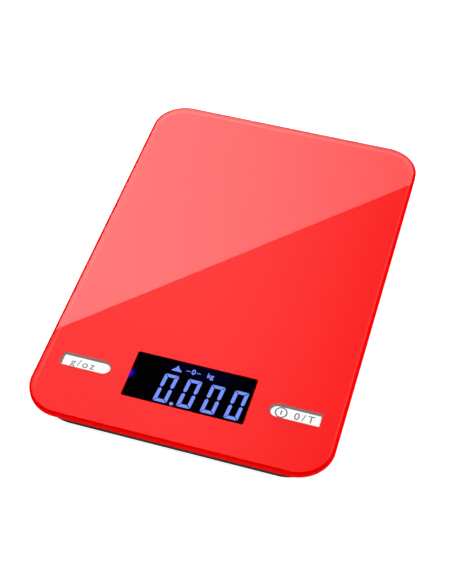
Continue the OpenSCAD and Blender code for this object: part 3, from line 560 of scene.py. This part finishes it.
def slot_materials():
    """One material for each slot of the record that a node shows."""
    return {
        "gasket": rubber("gasket_foam", (0.03, 0.03, 0.03), rough=0.85, pore_mm=0.3),
        "pad_foam": rubber("pad_foam", (0.62, 0.62, 0.58), rough=0.9, pore_mm=0.25),
        "housing": plastic(
            "housing_black",
            (0.012, 0.012, 0.013),
            rough=0.5,
            grain_mm=0.3,
            depth_mm=0.01,
            spread=0.15,
            Specular_IOR_Level=0.2,
        ),
        "sensor_steel": metal("sensor_steel", STEEL, rough=0.25, stretch=(4, 0.15, 4)),
        "gauge_sealant": rubber("gauge_sealant", (0.85, 0.85, 0.8), rough=0.5, pore_mm=0.8, depth_mm=0.02),
        "clip_steel": metal("clip_steel", (0.66, 0.66, 0.6), rough=0.3),
        "screw_steel": metal("screw_steel", (0.5, 0.5, 0.48), rough=0.3),
        "foot": plastic(
            "foot_black", (0.016, 0.016, 0.017), rough=0.38, grain_mm=0.35, depth_mm=0.008, spread=0.12
        ),
        "foot_rubber": rubber("foot_rubber", (0.035, 0.035, 0.037), rough=0.8, pore_mm=0.3),
        "lead_red": wire_coat("lead_red", (0.55, 0.015, 0.01)),
        "lead_black": wire_coat("lead_black", (0.015, 0.015, 0.016)),
        "board": solder_mask("board_green"),
        "chip_resin": plastic("chip_resin", (0.01, 0.01, 0.011), rough=0.3, grain_mm=0.6, depth_mm=0.01),
        "capacitor": plastic("capacitor_tan", (0.42, 0.27, 0.15), grain_mm=0.2),
        "lcd_glass": metal("lcd_glass", (0.10, 0.12, 0.13), rough=0.1),
        "light_guide": light_guide("light_guide"),
        "led": plastic("led_white", (0.85, 0.85, 0.8), rough=0.3),
        "contact_rubber": rubber("contact_rubber", (0.5, 0.5, 0.52), rough=0.6, pore_mm=0.15),
        "frame_plastic": plastic("frame_white", (0.75, 0.75, 0.72), rough=0.45),
        "key_white": plastic(
            "key_white", (0.93, 0.925, 0.93), rough=0.3, grain_mm=0.5, depth_mm=0.003, spread=0.01
        ),
        "switch_plastic": plastic("switch_black", (0.02, 0.02, 0.021), grain_mm=0.2),
        "dome_steel": metal("dome_steel", STEEL, rough=0.15),
        "plunger_plastic": plastic("plunger_white", (0.8, 0.8, 0.76), grain_mm=0.2),
        "terminal_tin": metal("terminal_tin", (0.7, 0.7, 0.68), rough=0.3),
        "cover": plastic(
            "cover_black", (0.014, 0.014, 0.015), rough=0.42, grain_mm=0.3, depth_mm=0.01, spread=0.15
        ),
        "cell_steel": metal("cell_steel", (0.72, 0.72, 0.7), rough=0.18, stretch=(2, 2, 2)),
        "contact_metal": metal("contact_nickel", (0.68, 0.65, 0.58), rough=0.22),
        "polariser": rubber("polariser_grey", (0.02, 0.02, 0.022), rough=0.3, pore_mm=0.5, depth_mm=0.002),
        "print": printed_coat(),
    }


def dress(obj, material):
    obj.data.materials.clear()
    obj.data.materials.append(material)


def dress_nodes():
    """Gives each node its slot's material. The glass has none, as a detailed piece takes its place."""
    materials = slot_materials()
    slots = {entry["node"]: entry["material_slot"] for entry in frame["record"]["subparts"]}
    for name, obj in nodes.items():
        if slots[name] in materials:
            dress(obj, materials[slots[name]])


# ---------------------------------------------------------------- helpers for pieces


def new_piece(name, mesh, body, slot, *materials):
    """A visible piece that moves with a body of the frame."""
    piece = bpy.data.objects.new(name, mesh)
    scene.collection.objects.link(piece)
    for material in materials:
        mesh.materials.append(material)
    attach(piece, body)
    return piece


def mesh_from(name, bm):
    mesh = bpy.data.meshes.new(name)
    bm.to_mesh(mesh)
    bm.free()
    return mesh


def arc(middle, radius, start, stop, steps):
    """Points along an arc, its ends given in degrees."""
    angles = [math.radians(start + (stop - start) * i / steps) for i in range(steps + 1)]
    return [(middle[0] + radius * math.cos(a), middle[1] + radius * math.sin(a)) for a in angles]


def circle(middle, radius, steps):
    return arc(middle, radius, 0, 360, steps)[:-1]


def rounded_rectangle(low, high, radius, steps):
    """Points counter-clockwise round a rectangle with round corners."""
    corners = (
        (high[0] - radius, low[1] + radius, -90),
        (high[0] - radius, high[1] - radius, 0),
        (low[0] + radius, high[1] - radius, 90),
        (low[0] + radius, low[1] + radius, 180),
    )
    points = []
    for x, y, start in corners:
        points += arc((x, y), radius, start, start + 90, steps)
    return points


def add_ring(bm, outline, z):
    return [bm.verts.new((x, y, z)) for x, y in outline]


def add_band(bm, upper, lower, slot=0, smooth=False):
    """Joins two rings of the same count by a band of faces."""
    for i in range(len(upper)):
        j = (i + 1) % len(upper)
        face = bm.faces.new((lower[i], lower[j], upper[j], upper[i]))
        face.material_index = slot
        face.smooth = smooth


def add_prism(bm, outline, bottom, top):
    """Adds a closed prism over an outline that runs counter-clockwise."""
    lower = add_ring(bm, outline, bottom)
    upper = add_ring(bm, outline, top)
    bm.faces.new(upper)
    bm.faces.new(lower[::-1])
    add_band(bm, upper, lower)


# Twice the area, in square metres, up to which a triangle is left out
SLIVER = 1e-14


def add_cap(bm, loops, upward, slot):
    """Fills an outline with openings by flat faces that all look up or all look down."""
    verts = [vert for loop in loops for vert in loop]
    for triangle in tessellate_polygon([[vert.co for vert in loop] for loop in loops]):
        corners = [verts[i] for i in triangle]
        a, b, c = (vert.co for vert in corners)
        normal = (b - a).cross(c - a)
        if normal.length <= SLIVER:
            continue
        if (normal.z > 0) != upward:
            corners.reverse()
        bm.faces.new(corners).material_index = slot


# ---------------------------------------------------------------- glass platform

# Material slots of the glass
FACE, OVER_DISPLAY, BEVEL, OPENING, SIDE, LOWER_BEVEL = range(6)


def key_opening(side, grown):
    """Outline of a key opening, clockwise: round towards the display and square towards the side."""
    corner = KEY_CORNER + grown
    corner_x = KEY_OUTER_X - KEY_CORNER
    points = arc((KEY_INNER_X + KEY_HALF, KEY_MIDDLE_Y), KEY_HALF + grown, 90, 270, KEY_ROUND_STEPS)
    for sign, start in ((-1, -90), (1, 0)):
        corner_y = KEY_MIDDLE_Y + sign * (KEY_HALF - KEY_CORNER)
        points += arc((corner_x, corner_y), corner, start, start + 90, KEY_CORNER_STEPS)
    if side < 0:
        return [(-x, y) for x, y in points]
    return points[::-1]


def bevel_profile():
    """(inset, depth below the surface) down one bevel, with both arrises eased by short curves."""
    upper_arris = ((GLASS_BEVEL + BEVEL_EASE, 0), (GLASS_BEVEL, 0), (GLASS_BEVEL - BEVEL_EASE, BEVEL_EASE))
    lower_arris = ((BEVEL_EASE, GLASS_BEVEL - BEVEL_EASE), (0, GLASS_BEVEL), (0, GLASS_BEVEL + BEVEL_EASE))
    points = []
    for arris in (upper_arris, lower_arris):
        for i in range(EASE_STEPS + 1):
            t = i / EASE_STEPS
            points.append([(1 - t) ** 2 * p + 2 * t * (1 - t) * q + t * t * r for p, q, r in zip(*arris)])
    return points


def glass_outline(inset, spread):
    """The glass's outline at an inset, which is that much wider at the sides and at the far edge."""
    side, far = (inset * widening for widening in spread)
    low = (GLASS_LOW.x + side, GLASS_LOW.y + inset)
    high = (GLASS_HIGH.x - side, GLASS_HIGH.y - far)
    return rounded_rectangle(low, high, GLASS_R - side, CORNER_STEPS)


def add_glass_edge(bm):
    """Adds bevel, side and lower bevel all round; returns the top ring and the bottom ring."""
    profile = bevel_profile()
    rings = []
    for inset, depth in profile:
        rings.append(add_ring(bm, glass_outline(inset, BEVEL_SPREAD), GLASS_HIGH.z - depth))
    for inset, depth in profile[::-1]:
        rings.append(add_ring(bm, glass_outline(inset, LOWER_BEVEL_SPREAD), GLASS_BOTTOM + depth))
    steps = len(profile) - 1
    slots = [BEVEL] * steps + [SIDE] * 2 + [LOWER_BEVEL] * (steps - 1)
    for upper, lower, slot in zip(rings, rings[1:], slots):
        add_band(bm, upper, lower, slot, smooth=True)
    return rings[0], rings[-1]


def add_key_walls(bm, side):
    """Adds the wall of one key opening, with a small arris on top; returns its top and its bottom ring."""
    levels = ((KEY_ARRIS, GLASS_HIGH.z), (0.0, GLASS_HIGH.z - KEY_ARRIS), (0.0, GLASS_BOTTOM))
    rings = [add_ring(bm, key_opening(side, KEY_OVERLAP + grown), z) for grown, z in levels]
    for upper, lower in zip(rings, rings[1:]):
        add_band(bm, upper, lower, OPENING)
    return rings[0], rings[-1]


def add_window(bm):
    """Adds the part of the top face that lies over the display; returns its ring, clockwise."""
    middle = [DISPLAY_MIDDLE[i] + WINDOW_SHIFT[i] for i in (0, 1)]
    low = [middle[i] - DISPLAY_HALF[i] for i in (0, 1)]
    high = [middle[i] + DISPLAY_HALF[i] for i in (0, 1)]
    outline = rounded_rectangle(low, high, DISPLAY_CORNER, DISPLAY_CORNER_STEPS)
    ring = add_ring(bm, outline[::-1], GLASS_HIGH.z)
    bm.faces.new(ring[::-1]).material_index = OVER_DISPLAY
    return ring


def platform_glass():
    """The glass, with polished bevels and an opening for each key."""
    bm = bmesh.new()
    top, bottom = add_glass_edge(bm)
    left_top, left_bottom = add_key_walls(bm, -1)
    right_top, right_bottom = add_key_walls(bm, 1)
    window = add_window(bm)
    add_cap(bm, [top, left_top, right_top, window], True, FACE)
    add_cap(bm, [bottom, left_bottom, right_bottom], False, OVER_DISPLAY)
    bm.normal_update()
    for edge in bm.edges:
        slots = {face.material_index for face in edge.link_faces}
        edge.smooth = slots <= {BEVEL, SIDE}
    return mesh_from("platform_glass", bm)


def build_glass():
    glass = new_piece(
        "platform_glass",
        platform_glass(),
        "scale",
        "glass",
        polished_glass("glass_face"),
        bloomed_glass("glass_over_display"),
        # The bevel: painted red, with painted shade towards the display end and a painted highlight towards
        # the far end.
        edge_with_painted_light("glass_bevel", BEVEL_TINT, NEAR_BEVEL_SHADE, FAR_BEVEL_GLOSS, FAR_BEVEL_SHEEN),
        ground_glass("glass_key_opening"),
        edge_with_painted_light("glass_side", SIDE_TINT),
        edge_with_painted_light("glass_lower_bevel", SIDE_TINT, lined=True),
    )
    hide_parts("glass_platform")


# ---------------------------------------------------------------- display


def zero_segments():
    """The six lit segments of a 0, as outlines in a cell from (0, 0) to (DIGIT_WIDTH, DIGIT_HEIGHT)."""
    w, h, t, g = DIGIT_WIDTH, DIGIT_HEIGHT, DIGIT_STROKE, DIGIT_GAP
    bar = [(g, 0), (w - g, 0), (w - g - t, t), (g + t, t)]
    shoulder = h / 2 - g - DIGIT_NIB
    post = [(0, g), (t, t + g), (t, shoulder), (t / 2, h / 2 - g), (0, shoulder)]
    shapes = []
    for far in (False, True):
        shapes.append([(x, h - y if far else y) for x, y in bar])
        for right in (False, True):
            shapes.append([(w - x if right else x, h - y if far else y) for x, y in post])
    return shapes


def counter_clockwise(points):
    area = sum(a[0] * b[1] - b[0] * a[1] for a, b in zip(points, points[1:] + points[:1]))
    return points if area > 0 else points[::-1]


def add_lit_shape(bm, points):
    add_prism(bm, counter_clockwise(points), SEGMENT_LOW, SEGMENT_HIGH)


def digits():
    """The reading 0.000."""
    bm = bmesh.new()
    for place in range(DIGIT_COUNT):
        left = DIGIT_LEFT + place * DIGIT_PITCH
        for shape in zero_segments():
            add_lit_shape(bm, [(left + x + DIGIT_LEAN * y, DIGIT_FRONT + y) for x, y in shape])
    dot_x = DIGIT_LEFT + (DIGIT_WIDTH + DIGIT_PITCH) / 2
    add_lit_shape(bm, circle((dot_x, DIGIT_FRONT + DOT_RISE), DOT_R, DOT_STEPS))
    return mesh_from("display_digits", bm)


def pointer_outline():
    """The steady-weight pointer: a triangle with short upright ends, hollow flanks and a blunt tip."""
    low, high = -POINTER_TALL / 2, POINTER_TALL / 2
    right = [
        (POINTER_HALF, low),
        (POINTER_HALF, low + POINTER_FOOT),
        (POINTER_WAIST, high - POINTER_NECK),
        (POINTER_TIP, high),
    ]
    left = [(-x, y) for x, y in right[::-1]]
    return [(POINTER_X + x, ICON_Y + y) for x, y in right + left]


def zero_bar_outline(side):
    """One of the two bars beside the zero mark."""
    middle = ZERO_MARK_X + side * ZERO_BAR_OFFSET
    long, thick = ZERO_BAR_HALF
    corners = ((-long, -thick), (long, -thick), (long, thick), (-long, thick))
    return [(middle + x, ICON_Y + y) for x, y in corners]


def icons():
    """The row above the digits, without its lettering."""
    bm = bmesh.new()
    for outline in (pointer_outline(), zero_bar_outline(-1), zero_bar_outline(1)):
        add_lit_shape(bm, outline)
    return mesh_from("display_icons", bm)


def lettering(name, words, height, place, weight=0.0, stretch=1.0, spacing=1.0):
    """Plain generic lettering as a thin solid, centred on place; height is that of a capital."""
    curve = bpy.data.curves.new(name, "FONT")
    curve.body = words
    curve.align_x = "CENTER"
    curve.align_y = "CENTER"
    curve.size = height / CAPITAL_SHARE
    curve.extrude = LETTER_THICKNESS / 2
    curve.offset = weight
    curve.space_character = spacing
    curve.resolution_u = CURVE_STEPS
    maker = bpy.data.objects.new(name + "_curve", curve)
    scene.collection.objects.link(maker)
    bpy.context.view_layer.update()
    mesh = bpy.data.meshes.new_from_object(maker.evaluated_get(bpy.context.evaluated_depsgraph_get()))
    mesh.name = name
    mesh.transform(Matrix.Diagonal((stretch, 1, 1, 1)))
    mesh.transform(Matrix.Translation(Vector(place) + Vector((0, 0, LETTER_THICKNESS / 2))))
    mesh.materials.clear()
    bpy.data.objects.remove(maker)
    return mesh


def build_display():
    """The black film and the lit reading on it, an icon row above the digits."""
    dress(nodes["lcd_front_polariser"], display_film("display_film"))
    lit = lit_segments("lit_segments")
    new_piece("display_digits", digits(), "scale", "polariser", lit)
    new_piece("display_icons", icons(), "scale", "polariser", lit)
    for name, words, height, x, y, stretch in (
        ("display_zero_mark", "0", ZERO_MARK_TALL, ZERO_MARK_X, ICON_Y, 1.0),
        ("display_unit_mark", "kg", UNIT_MARK_TALL, UNIT_MARK_X, UNIT_MARK_Y, UNIT_MARK_STRETCH),
    ):
        mesh = lettering(name, words, height, (x, y, SEGMENT_LOW), weight=ICON_WEIGHT, stretch=stretch)
        new_piece(name, mesh, "scale", "polariser", lit)


# ---------------------------------------------------------------- key markings


def power_symbol():
    """A ring with an upright bar in it, as a power key has."""
    bm = bmesh.new()
    top = KEY_INK_Z + LETTER_THICKNESS
    middle = (POWER_RING_X, KEY_MIDDLE_Y)
    outlines = [circle(middle, r, POWER_RING_STEPS) for r in (POWER_RING_R, POWER_RING_R - POWER_RING_LINE)]
    outer_low, inner_low = (add_ring(bm, outline, KEY_INK_Z) for outline in outlines)
    outer_high, inner_high = (add_ring(bm, outline, top) for outline in outlines)
    for upper, lower in (
        (outer_high, outer_low),
        (inner_low, inner_high),
        (inner_high, outer_high),
        (outer_low, inner_low),
    ):
        add_band(bm, upper, lower)
    thick, long = POWER_RING_LINE / 2, POWER_RING_R * POWER_BAR_SHARE
    corners = ((-thick, -long), (thick, -long), (thick, long), (-thick, long))
    add_prism(bm, [(middle[0] + x, middle[1] + y) for x, y in corners], KEY_INK_Z, top)
    return mesh_from("tare_key_symbol", bm)


def build_key_markings():
    """Generic marks on the two keys, which throw no shadow through their openings."""
    for key in ("unit_key", "tare_key"):
        nodes[key].visible_shadow = False
    ink = painted_ink("key_ink", grey=0.06)
    unit = lettering(
        "unit_key_marking", "g/oz", UNIT_MARKING_TALL, UNIT_MARKING_PLACE, spacing=UNIT_MARKING_SPACING
    )
    new_piece("unit_key_marking", unit, "unit_key_assembly", "key_white", ink)
    tare = lettering(
        "tare_key_marking", "0/T", TARE_MARKING_TALL, TARE_MARKING_PLACE, spacing=TARE_MARKING_SPACING
    )
    new_piece("tare_key_marking", tare, "tare_key_assembly", "key_white", ink)
    new_piece("tare_key_symbol", power_symbol(), "tare_key_assembly", "key_white", ink)


# ---------------------------------------------------------------- studio

WHITE = (1, 1, 1, 1)
WORLD_LEVEL = 0.93
# Brightness of the mirrored room by the direction looked in: (level, level, from, to)
ROOM_ACROSS = (1.02, 0.2, -0.22, 0.0)
ROOM_BEHIND = (0.04, 1.0, -0.5, 0.0)
ROOM_ABOVE = (0.1, 1.0, 0.45, 0.64)
ROOM_AHEAD = (0.8, 1.0, 0.48, 0.62)

FLOOR_HALF = 4.0
FLOOR_GRID = 4
FLOOR_LIFT = 0.7
FLOOR_SHADES = ((0.955, 0.955, 0.955, 1), (0.965, 0.965, 0.965, 1))

PANEL_HEIGHT = 1.517
PANEL_EDGE = ((-0.6214, 1.0229), (-0.0834, 1.5633))
PANEL_LENGTH, PANEL_DEPTH = 2.6, 1.0
# Its brightness along the diagonal x + y: (level, level, from, to)
PANEL_LEVELS = (3.1, 1.6, 0.58, 1.53)

CAMERA_AZIMUTH, CAMERA_ELEVATION = 16.661, 50.212
CAMERA_DISTANCE = 0.65674
CAMERA_TARGET = (-0.00039, -0.0163, 0.017)
CAMERA_LENS_MM, CAMERA_SENSOR_MM = 80.245, 36.0
CAMERA_NEAREST = 0.01


def seen_rays(s):
    """1 where the camera looks, directly or through glass."""
    path = s.add("LightPath").outputs
    return s.math("MAXIMUM", path["Is Camera Ray"], path["Is Transmission Ray"])


def world_light():
    """A white room: white where it is seen, softer as light on the object, graded where it is mirrored."""
    scene.world = bpy.data.worlds.new("studio_world")
    s = Shader(scene.world)
    axes = s.axes(s.add("TexCoord").outputs["Generated"])
    mirrored = s.product(
        s.smooth(axes["X"], *ROOM_ACROSS),
        s.smooth(axes["Y"], *ROOM_BEHIND),
        s.smooth(axes["Z"], *ROOM_ABOVE),
        s.smooth(axes["Y"], *ROOM_AHEAD),
    )
    glossy = s.add("LightPath").outputs["Is Glossy Ray"]
    strength = s.mix_value(seen_rays(s), s.mix_value(glossy, WORLD_LEVEL, mirrored), 1.0)
    background = s.add("Background", Color=WHITE, Strength=strength)
    s.add("OutputWorld", Surface=background.outputs[0])


def softbox():
    """A large softbox behind and above; its straight edge is what the glass mirrors as a diagonal."""
    lamp = bpy.data.lights.new("softbox", "AREA")
    lamp.shape = "RECTANGLE"
    lamp.size = PANEL_LENGTH
    lamp.size_y = PANEL_DEPTH
    lamp.energy = math.pi * PANEL_LENGTH * PANEL_DEPTH
    s = Shader(lamp)
    place = s.add("NewGeometry").outputs["Position"]
    diagonal = s.add("VectorMath", {"operation": "DOT_PRODUCT"}, i0=place, i1=(1, 1, 0)).outputs["Value"]
    glow = s.add("Emission", Color=WHITE, Strength=s.span(diagonal, *PANEL_LEVELS))
    s.add("OutputLight", Surface=glow.outputs[0])
    holder = bpy.data.objects.new("softbox", lamp)
    scene.collection.objects.link(holder)
    (x0, y0), (x1, y1) = PANEL_EDGE
    along = Vector((x1 - x0, y1 - y0, 0)).normalized()
    away = Vector((-along.y, along.x, 0))
    middle = Vector(((x0 + x1) / 2, (y0 + y1) / 2, PANEL_HEIGHT)) + away * PANEL_DEPTH / 2
    turn = math.atan2(along.y, along.x)
    holder.matrix_world = Matrix.Translation(middle) @ Matrix.Rotation(turn, 4, "Z")


def floor_white():
    """Pale grey paint, lifted to white where the camera sees it and nothing shades it."""
    s = new_material("floor_white")
    speck = s.noise(s.object_place(), 40.0, detail=2.0)
    diffuse = s.add("BsdfDiffuse", Color=s.blend(s.span(speck, 0, 1), *FLOOR_SHADES))
    lift = s.add("Emission", Color=WHITE, Strength=s.product(seen_rays(s), FLOOR_LIFT))
    whole = s.add("AddShader", i0=diffuse.outputs[0], i1=lift.outputs[0])
    return s.finish(whole.outputs[0])


def studio_floor():
    """A floor so large that its edges stay out of sight."""
    bm = bmesh.new()
    bmesh.ops.create_grid(bm, x_segments=FLOOR_GRID, y_segments=FLOOR_GRID, size=FLOOR_HALF)
    mesh = mesh_from("studio_floor", bm)
    mesh.materials.append(floor_white())
    floor = bpy.data.objects.new("studio_floor", mesh)
    scene.collection.objects.link(floor)


def camera():
    """In front of the display end, a little to its right, looking down at about half a right angle."""
    azimuth, elevation = math.radians(CAMERA_AZIMUTH), math.radians(CAMERA_ELEVATION)
    level = math.cos(elevation)
    outward = Vector((math.sin(azimuth) * level, -math.cos(azimuth) * level, math.sin(elevation)))
    data = bpy.data.cameras.new("camera")
    data.lens = CAMERA_LENS_MM
    data.sensor_width = CAMERA_SENSOR_MM
    data.clip_start = CAMERA_NEAREST
    holder = bpy.data.objects.new("camera", data)
    holder.location = Vector(CAMERA_TARGET) + outward * CAMERA_DISTANCE
    holder.rotation_euler = (-outward).to_track_quat("-Z", "Y").to_euler()
    scene.collection.objects.link(holder)
    scene.camera = holder


# ---------------------------------------------------------------- assembly

camera()
dress_nodes()
build_glass()
build_display()
build_key_markings()
world_light()
softbox()
studio_floor()
scene.view_settings.view_transform = "Standard"
